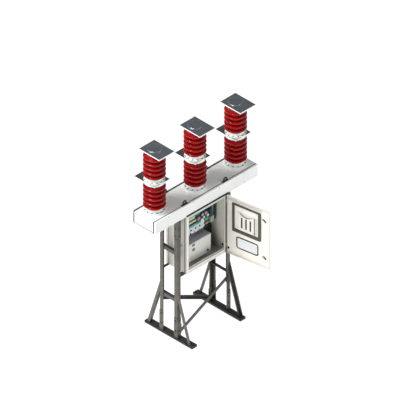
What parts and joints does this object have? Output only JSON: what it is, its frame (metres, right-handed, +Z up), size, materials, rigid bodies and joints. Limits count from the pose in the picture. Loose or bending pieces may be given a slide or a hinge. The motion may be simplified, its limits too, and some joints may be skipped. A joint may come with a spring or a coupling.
{
  "type": "gas insulated breaker",
  "caption": "Three-pole outdoor gas insulated breaker: red ribbed insulator columns on a beam, carried by an angle-steel stand with a drive cabinet whose door swings.",
  "frame": {"origin": "on the ground, midway between the foot bars and below the middle pole", "axes": "+X along the beam to the right as seen from the front, +Y to the rear, away from the cabinet door, +Z up"},
  "size_m": [1.892, 1.3538, 3.132],
  "materials": {
    "dark_steel": "dark grey paint, satin, scuffed",
    "frame_steel": "warm grey paint over steel angles, satin",
    "beam_paint": "white powder coat, smooth satin",
    "flange_white": "off-white paint, satin",
    "shed_red": "deep red glaze, glossy",
    "terminal_dark": "dark grey, satin",
    "terminal_grey": "mid grey, satin",
    "cabinet_paint": "light beige-grey powder coat, satin",
    "zinc_plate": "zinc-plated sheet, dull",
    "panel_teal": "teal panel with device rows, semi-gloss",
    "device_plastic": "light grey moulded devices, matt",
    "relay_grey": "light grey moulded cover, matt",
    "hinge_steel": "plain steel, worn",
    "dark_trim": "dark grey paint, satin",
    "pocket_grey": "light grey sheet, satin",
    "gasket_rubber": "black rubber, matt",
    "pane": "pale tinted pane, glossy"
  },
  "bodies": {
    "structure": {"foot_bar_left": "dark_steel", "foot_bar_right": "dark_steel", "post_left_front": "frame_steel", "post_left_rear": "frame_steel", "post_right_front": "frame_steel", "post_right_rear": "frame_steel", "raking_struts_left": "frame_steel", "raking_struts_right": "frame_steel", "crossbars_left": "frame_steel", "crossbars_right": "frame_steel", "brace_front": "frame_steel", "brace_rear": "frame_steel", "gusset_plates": "frame_steel", "post_head_cleats": "frame_steel", "post_base_cleats": "frame_steel", "cabinet_brackets": "frame_steel", "beam_body": "beam_paint", "beam_cover_front": "beam_paint", "beam_cover_rear": "beam_paint", "lifting_eyes": "dark_steel", "cabinet_body": "cabinet_paint", "cabinet_mounting_plate": "zinc_plate", "component_panel": "panel_teal", "device_rows": "device_plastic", "relay_box": "relay_grey", "cabinet_hinges": "hinge_steel", "base_flange_left": "flange_white", "lower_insulator_left": "shed_red", "mid_flange_left": "flange_white", "mid_terminal_left": "terminal_dark", "upper_insulator_left": "shed_red", "top_terminal_left": "terminal_grey", "base_flange_middle": "flange_white", "lower_insulator_middle": "shed_red", "mid_flange_middle": "flange_white", "mid_terminal_middle": "terminal_dark", "upper_insulator_middle": "shed_red", "top_terminal_middle": "terminal_grey", "base_flange_right": "flange_white", "lower_insulator_right": "shed_red", "mid_flange_right": "flange_white", "mid_terminal_right": "terminal_dark", "upper_insulator_right": "shed_red", "top_terminal_right": "terminal_grey"},
    "door": {"cabinet_door": "cabinet_paint", "door_frame": "dark_trim", "document_pocket": "pocket_grey", "window_gasket": "gasket_rubber", "window_pane": "pane", "door_latches": "dark_trim"}
  },
  "joints": [
    {"name": "cabinet_door_hinge", "type": "hinge", "parent": "structure", "child": "door", "pos_m": [0.352, -0.226, 1.4], "axis": [0, 0, 1], "range_deg": [-99.4, 15]}
  ]
}
